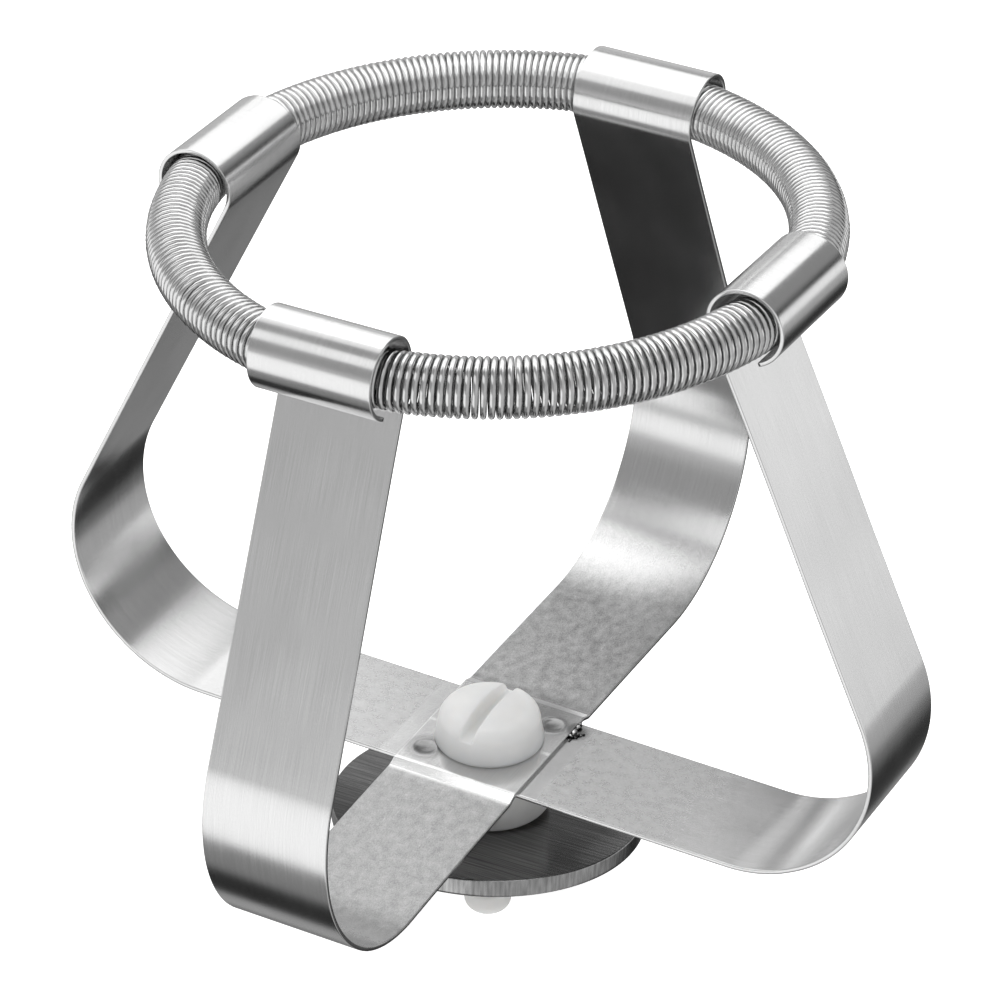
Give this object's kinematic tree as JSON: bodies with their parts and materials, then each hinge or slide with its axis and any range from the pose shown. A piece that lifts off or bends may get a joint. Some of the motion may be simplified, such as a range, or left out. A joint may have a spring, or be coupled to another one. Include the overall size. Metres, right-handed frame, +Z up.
{
  "type": "flask clamp",
  "caption": "Platform flask clamp: crossed steel spring strips with inward leaning arms, a coil spring ring through their rolled eyes, and a nylon mounting screw with a spacer and tapped disc.",
  "frame": {"origin": "on the screw axis, in the plane of the strips' underside, where the clamp seats on a platform", "axes": "+Z up along the screw axis, +X along the lower strip, +Y along the upper strip"},
  "size_m": [0.104, 0.104, 0.1011],
  "materials": {
    "strip_steel": "satin rolled",
    "spring_wire": "bright drawn",
    "natural_nylon": "soft gloss, translucent",
    "disc_steel": "brushed, ground rim"
  },
  "bodies": {
    "frame": {"lower_strip": "strip_steel", "upper_strip": "strip_steel", "spacer": "natural_nylon"},
    "screw": {"mounting_screw": "natural_nylon"},
    "disc": {"clamp_disc": "disc_steel"},
    "ring": {"spring_ring": "spring_wire"}
  },
  "joints": [
    {"name": "screw_turn", "type": "hinge", "parent": "frame", "child": "screw", "pos_m": [0, 0, 0], "axis": [0, 0, 1], "range_deg": [0, 4320]},
    {"name": "disc_travel", "type": "slide", "parent": "frame", "child": "disc", "axis": [0, 0, -1], "range_m": [0, 0.012]},
    {"name": "ring_creep", "type": "hinge", "parent": "frame", "child": "ring", "pos_m": [0, 0, 0.0709], "axis": [-0.0419, 0.03, 0.9987], "continuous": true}
  ],
  "couplings": [
    {"joint": "screw_turn", "follows": "disc_travel", "rad_per_m": 6283.2}
  ]
}
